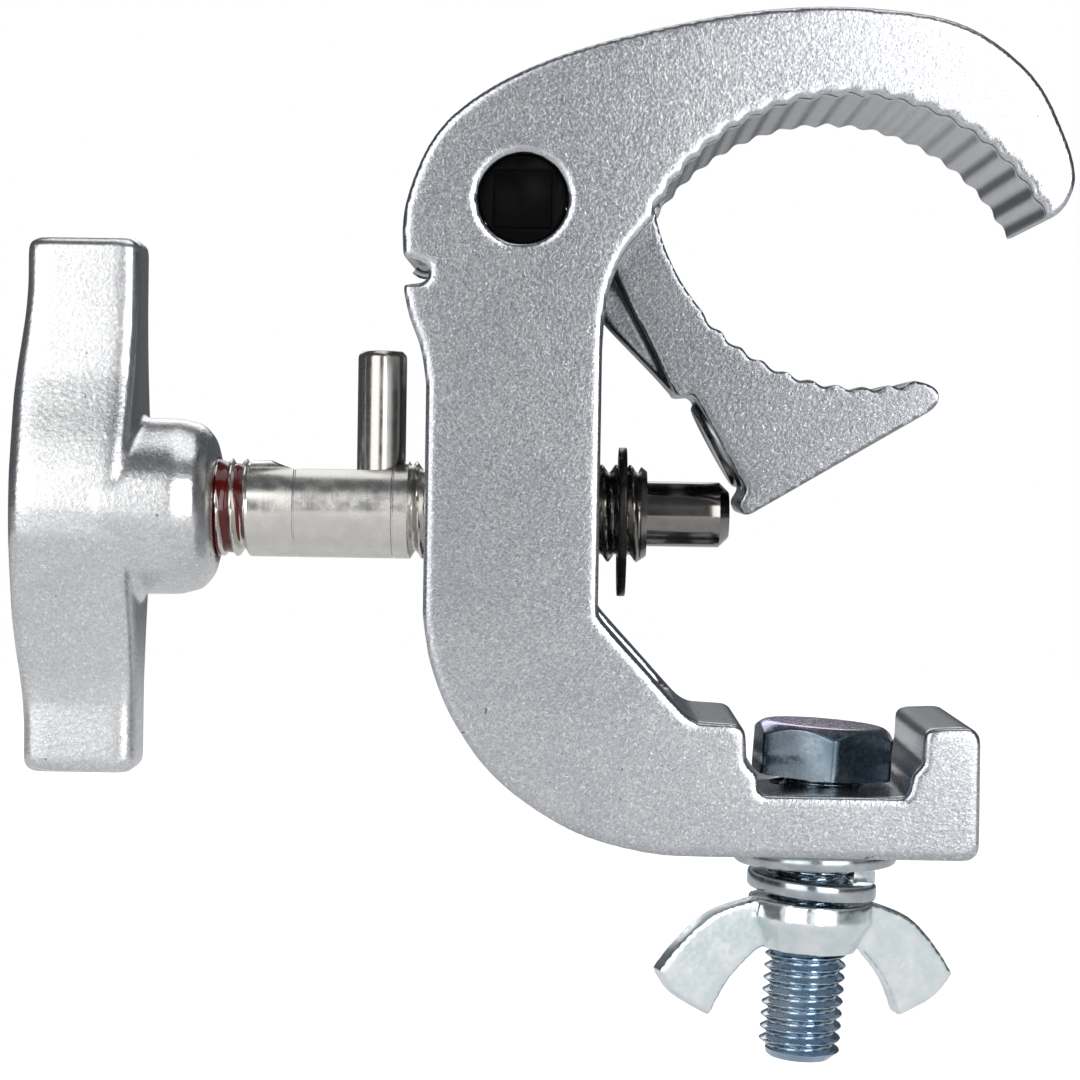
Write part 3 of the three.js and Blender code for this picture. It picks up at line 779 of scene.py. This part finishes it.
def head_or_screw(screw):
    """The bolt's radius: the screw's, or in the head a hexagon's with rounded corners.

    At angle a the hexagon's is its half width over the cosine of the angle from the nearest
    flat's middle. A soft minimum, -log(exp(-ku) + exp(-kv)) / k, holds it within the corner.
    """
    def radius_of(h, r, a):
        r = screw(h, r, a)
        from_flat = (a % (np.pi / 3)) - np.pi / 6
        flat = HEAD_HALF_WIDTH * MM / np.cos(from_flat)
        both = np.exp(-flat * HEAD_ROUND) + np.exp(-HEAD_CORNER * MM * HEAD_ROUND)
        hexagon = -np.log(both) / HEAD_ROUND
        return np.where(r > 7.0 * MM, np.minimum(r, hexagon), r)
    return radius_of


def hexagon_bolt():
    """The bolt as one turned surface, with the head's chamfer as a cone, turned and leaned."""
    end = HEAD_FOOT - BOLT_LENGTH
    cone = np.arange(21)
    outline = np.concatenate([
        [(end, 0), (end, 3.7), (HEAD_FOOT - 34.7, 4.05), (HEAD_FOOT - 34.0, 4.9)],
        steps(-29.5, 4.2, 0.125, BOLT_RADIUS),
        [(4.38, BOLT_RADIUS), (HEAD_FOOT, 5.2), (HEAD_FOOT, 6.9), (HEAD_FOOT, 7.6), (4.42, 8.7),
         (4.52, 9.1), (4.75, 9.5), (5.2, 9.6), (6.0, 9.6)],
        steps(6.4, 9.0, 0.3, 9.6),
        np.column_stack([9.0 + 0.075 * cone, 9.6 - 0.0915 * cone]),
        [(10.68, 7.45), (10.78, 7.1), (HEAD_TOP, 6.6), (HEAD_TOP, 0)],
    ])
    screw = threaded(1.5, 0.86, -30.3, 4.0, 0.7)
    piece = turned_piece("hexagon_bolt", outline, "z", (0, 0, 0), BOLT_ZINC,
                         "frame", "hex_bolt", 168, head_or_screw(screw))
    points = np.empty(len(piece.data.vertices) * 3)
    piece.data.vertices.foreach_get("co", points)
    x, y, z = points.reshape(-1, 3).T
    c, s = math.cos(HEAD_TURN), math.sin(HEAD_TURN)
    spun = np.stack([c * x - s * y, s * x + c * y, z], -1)
    piece.data.vertices.foreach_set("co", leaned(spun).ravel())
    piece.data.update()


def split_washer():
    """A rounded square section carried nearly once round, dropping in step with the angle.

    A section's point at angle t is sign(cos t)|cos t|^p and sign(sin t)|sin t|^p times its half
    width and half thickness.
    """
    inner, outer, thick, rise, top = 5.3, 8.0, 2.2, 1.5, -6.9
    rows, sides, power = 120, 24, 0.42
    gap = math.radians(8)
    a = np.linspace(gap, 2 * np.pi - gap, rows)[:, None]
    t = np.linspace(0, 2 * np.pi, sides, endpoint=False)
    across = np.sign(np.cos(t)) * np.abs(np.cos(t)) ** power
    up = np.sign(np.sin(t)) * np.abs(np.sin(t)) ** power
    r = (inner + outer) / 2 + (outer - inner) / 2 * across[None]
    z = top - thick / 2 + thick / 2 * up[None] - rise * a / (2 * np.pi)
    grid = np.stack([r * np.cos(a), r * np.sin(a), z], -1).reshape(-1, 3) * MM
    piece = new_object("split_washer", leaned(grid), capped_faces(rows, sides))
    finish_piece(piece, WASHER_ZINC, "washers", "spring_washer", 60)


hexagon_bolt()
split_washer()


# ---- Floor, light and camera ------------------------------------------------------------------

CAMERA_AT = (-0.03238, -0.338, -0.01733)
CAMERA_ROLL = math.radians(0.9)
AIM_LEFT, AIM_DOWN = 30 / 2745, 80 / 2745  # how far the lens points aside, for one ahead


def studio():
    """A pale round floor below the clamp, as a grid of rings: (r cos a, r sin a, constant)."""
    rings, sides = 12, 96
    r = (1.1 * np.linspace(0, 1, rings) ** 1.5)[:, None]
    a = np.arange(sides) * 2 * np.pi / sides
    x, y = r * np.cos(a), r * np.sin(a)
    verts = np.stack([x, y, np.full_like(x, FLOOR_Z)], -1).reshape(-1, 3)
    floor = new_object("floor", verts, grid_faces(rings, sides)[:, ::-1].tolist())
    weld(floor.data)
    paper, tree, shader, coords = start_finish("paper")
    shade = noise(tree, coords, 3.0)
    shade = mix_colour(tree, shade, (0.90, 0.90, 0.90), (0.94, 0.94, 0.94))
    tree.links.new(shade, shader.inputs["Base Color"])
    shader.inputs["Roughness"].default_value = 0.9
    shader.inputs["Emission Color"].default_value = (1, 1, 1, 1)
    seen = tree.nodes.new("ShaderNodeLightPath").outputs["Is Camera Ray"]
    tree.links.new(ramp(tree, seen, 0.0, 1.0, 0.20, 0.75), shader.inputs["Emission Strength"])
    floor.data.materials.append(paper)


def surroundings():
    """White behind the clamp for the eye, and a dim room for what the metal reflects."""
    world = bpy.data.worlds.new("studio")
    world.use_nodes = True
    tree = world.node_tree
    room = tree.nodes["Background"]
    room.inputs["Color"].default_value = (0.86, 0.92, 1.0, 1)
    room.inputs["Strength"].default_value = 0.12
    white = tree.nodes.new("ShaderNodeBackground")
    white.inputs["Color"].default_value = (1, 1, 1, 1)
    seen = tree.nodes.new("ShaderNodeLightPath")
    either = tree.nodes.new("ShaderNodeMixShader")
    tree.links.new(seen.outputs["Is Camera Ray"], either.inputs[0])
    tree.links.new(room.outputs[0], either.inputs[1])
    tree.links.new(white.outputs[0], either.inputs[2])
    tree.links.new(either.outputs[0], tree.nodes["World Output"].inputs["Surface"])
    bpy.context.scene.world = world


def soft_light(name, place_at, aim, width, height, watts):
    """A white rectangle of light, turned to face what it is aimed at."""
    light = bpy.data.lights.new(name, "AREA")
    light.shape = "RECTANGLE"
    light.size, light.size_y, light.energy = width, height, watts
    lamp = bpy.data.objects.new(name, light)
    bpy.context.collection.objects.link(lamp)
    lamp.location = place_at
    lamp.rotation_euler = (Vector(aim) - Vector(place_at)).to_track_quat("-Z", "Y").to_euler()


def camera():
    """The camera, level but for a turn of 0.9 degrees, looking along +Y and a little down."""
    right = Vector((math.cos(CAMERA_ROLL), 0, math.sin(CAMERA_ROLL)))
    up = Vector((-math.sin(CAMERA_ROLL), 0, math.cos(CAMERA_ROLL)))
    forward = (Vector((0, 1, 0)) - right * AIM_LEFT - up * AIM_DOWN).normalized()
    right = forward.cross(up).normalized()
    up = right.cross(forward)
    data = bpy.data.cameras.new("camera")
    data.lens, data.sensor_width = 91.5, 36.0
    data.clip_start, data.clip_end = 0.01, 20
    eye = bpy.data.objects.new("camera", data)
    bpy.context.collection.objects.link(eye)
    turned = Matrix((right, up, -forward)).transposed().to_4x4()
    eye.matrix_world = Matrix.Translation(CAMERA_AT) @ turned
    bpy.context.scene.camera = eye


studio()
surroundings()
soft_light("overhead", (0.05, 0.05, 0.9), (0, 0, 0), 0.9, 0.6, 2.3)
soft_light("front_left", (-0.73, -1.22, 0.0), (0, 0, 0), 1.0, 2.3, 17.0)
soft_light("front_right", (0.59, -1.28, -0.05), (0, 0, -0.01), 0.9, 2.0, 24.0)
soft_light("back", (-0.2, 1.1, 0.55), (0, 0, 0), 0.9, 0.5, 2.4)
bpy.context.scene.view_settings.view_transform = "Standard"
camera()
